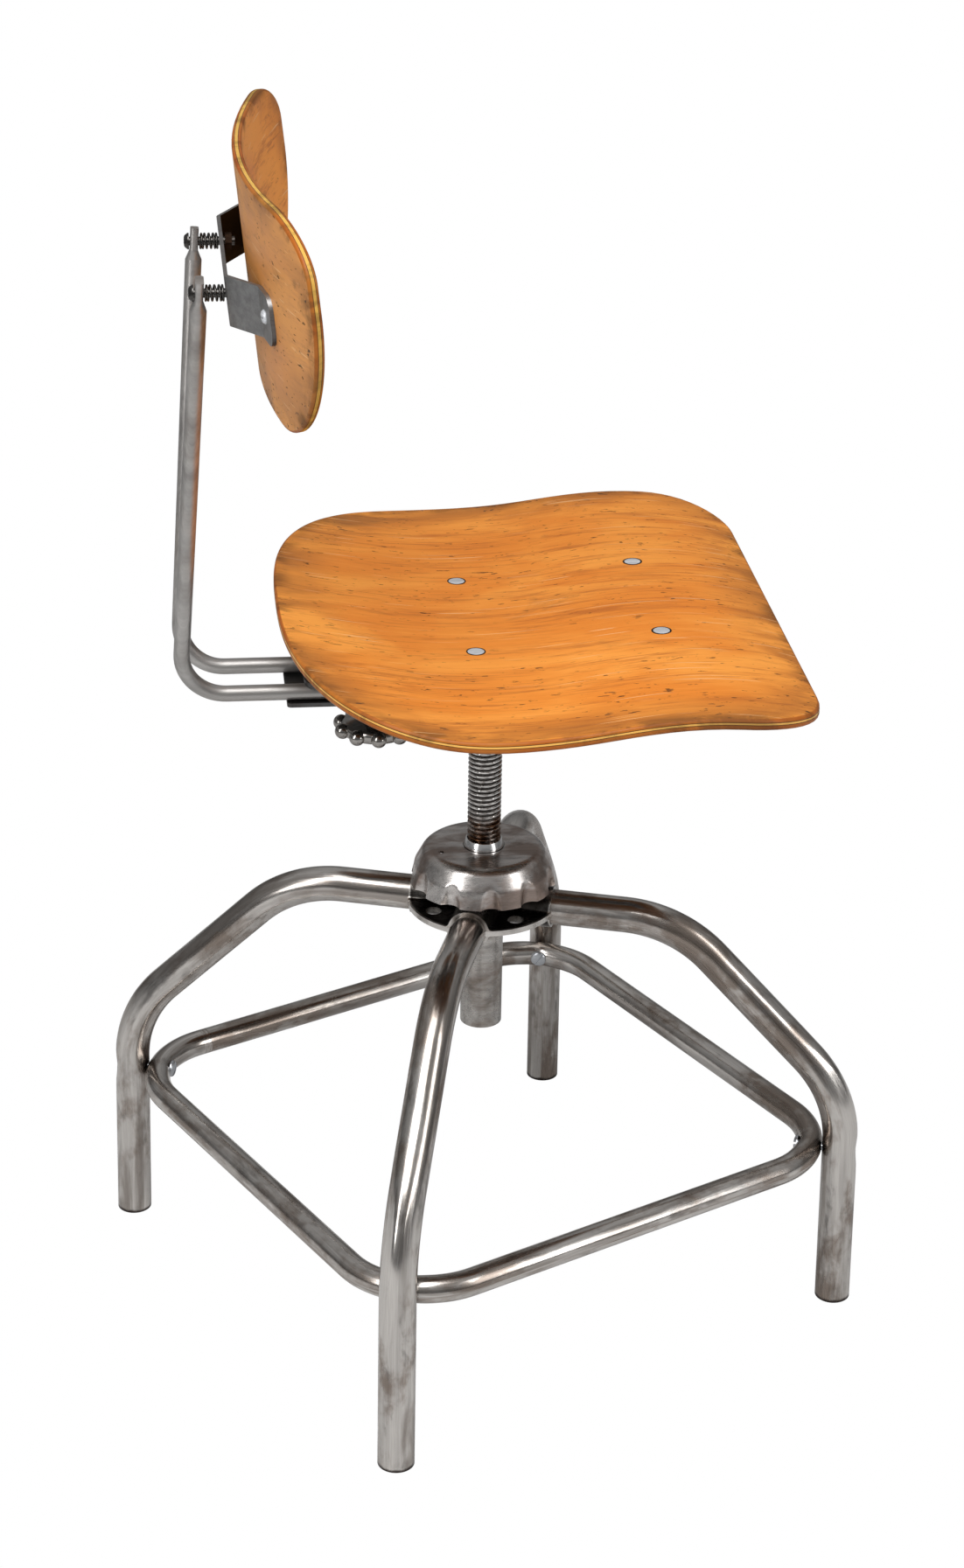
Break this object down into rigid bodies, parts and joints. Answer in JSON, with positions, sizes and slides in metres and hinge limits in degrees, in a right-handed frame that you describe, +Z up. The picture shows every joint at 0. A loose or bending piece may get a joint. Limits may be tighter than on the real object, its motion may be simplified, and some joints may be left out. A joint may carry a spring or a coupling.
{
  "type": "machinist stool",
  "caption": "Steel-legged work stool with a dished plywood seat, a hand wheel that lifts it on a screw, a round-tube footrest and a sprung plywood backrest on sliding rods.",
  "frame": {"origin": "on the floor under the seat post", "axes": "+Z up; the sitter faces -Y; +X is the sitter's left"},
  "size_m": [0.5384, 0.5384, 0.8423],
  "materials": {
    "leg_steel": "bare steel tube, wire brushed, brown heat and rust stains",
    "ring_steel": "bare steel tube, wire brushed, brown stains",
    "hub_steel": "bare pressed steel, dark in the corners",
    "bearing_steel": "ground steel, greasy",
    "wheel_steel": "polished pressed steel with brown stains",
    "nut_steel": "bright turned steel",
    "screw_steel": "cut thread, dark, rusty brown near the wheel",
    "frame_steel": "dark sheet steel",
    "seat_plywood": "varnished plywood, honey orange, worn and scratched",
    "back_plywood": "varnished plywood, honey orange, worn dark edges",
    "bolt_steel": "bright steel fasteners",
    "back_bolt_steel": "dark steel bolts",
    "knob_steel": "dark polished steel",
    "rod_steel": "bare steel rod, wire brushed",
    "spring_steel": "dark spring wire",
    "bracket_steel": "grey sheet steel"
  },
  "bodies": {
    "base": {"leg_front": "leg_steel", "leg_right": "leg_steel", "leg_rear": "leg_steel", "leg_left": "leg_steel", "hub_top": "hub_steel", "hub_bottom": "hub_steel", "housing_tube": "hub_steel", "footrest_ring": "ring_steel", "footrest_screws": "bolt_steel", "bearing_lower_race": "bearing_steel", "bearing_balls": "bearing_steel"},
    "nut_carrier": {"bearing_upper_race": "bearing_steel"},
    "wheel": {"handwheel": "wheel_steel", "lift_nut": "nut_steel"},
    "seat": {"lift_screw": "screw_steel", "screw_stop": "screw_steel", "seat_frame": "frame_steel", "seat_bolts": "bolt_steel", "seat_nuts": "bolt_steel", "seat_board": "seat_plywood", "clamp_plate": "frame_steel", "clamp_nut": "frame_steel"},
    "knob": {"clamp_knob": "knob_steel", "clamp_stud": "knob_steel"},
    "back_rods": {"back_rod_left": "rod_steel", "back_rod_right": "rod_steel", "rod_tie": "frame_steel", "rod_tie_screws": "bolt_steel"},
    "spring_bolts": {"back_bolts": "back_bolt_steel", "back_nuts": "bolt_steel", "spring_left": "spring_steel", "spring_right": "spring_steel"},
    "backrest": {"back_bracket": "bracket_steel", "back_board": "back_plywood", "back_screws": "bolt_steel"}
  },
  "joints": [
    {"name": "seat_swivel", "type": "hinge", "parent": "base", "child": "nut_carrier", "pos_m": [0, 0, 0.315], "axis": [0, 0, 1], "continuous": true},
    {"name": "wheel_turn", "type": "hinge", "parent": "nut_carrier", "child": "wheel", "pos_m": [0, 0, 0.32], "axis": [0, 0, 1], "range_deg": [-8750, 7720]},
    {"name": "screw_lift", "type": "slide", "parent": "nut_carrier", "child": "seat", "axis": [0, 0, 1], "range_m": [-0.075, 0.085]},
    {"name": "backrest_depth", "type": "slide", "parent": "seat", "child": "back_rods", "axis": [0, 1, 0], "range_m": [-0.025, 0.04]},
    {"name": "clamp_turn", "type": "hinge", "parent": "seat", "child": "knob", "pos_m": [0, 0.077, 0.4348], "axis": [0, 0, 1], "range_deg": [-360, 0]},
    {"name": "backrest_tilt", "type": "hinge", "parent": "back_rods", "child": "spring_bolts", "pos_m": [0, 0.1944, 0.764], "axis": [1, 0, 0], "range_deg": [-3, 3], "stiffness_Nm_per_rad": 60},
    {"name": "backrest_give", "type": "slide", "parent": "spring_bolts", "child": "backrest", "axis": [0, 1, 0], "range_m": [0, 0.004], "stiffness_N_per_m": 16000, "springref_m": -0.002, "deforming": ["spring_left", "spring_right"]}
  ],
  "couplings": [
    {"joint": "wheel_turn", "follows": "screw_lift", "rad_per_m": -1795.2}
  ]
}
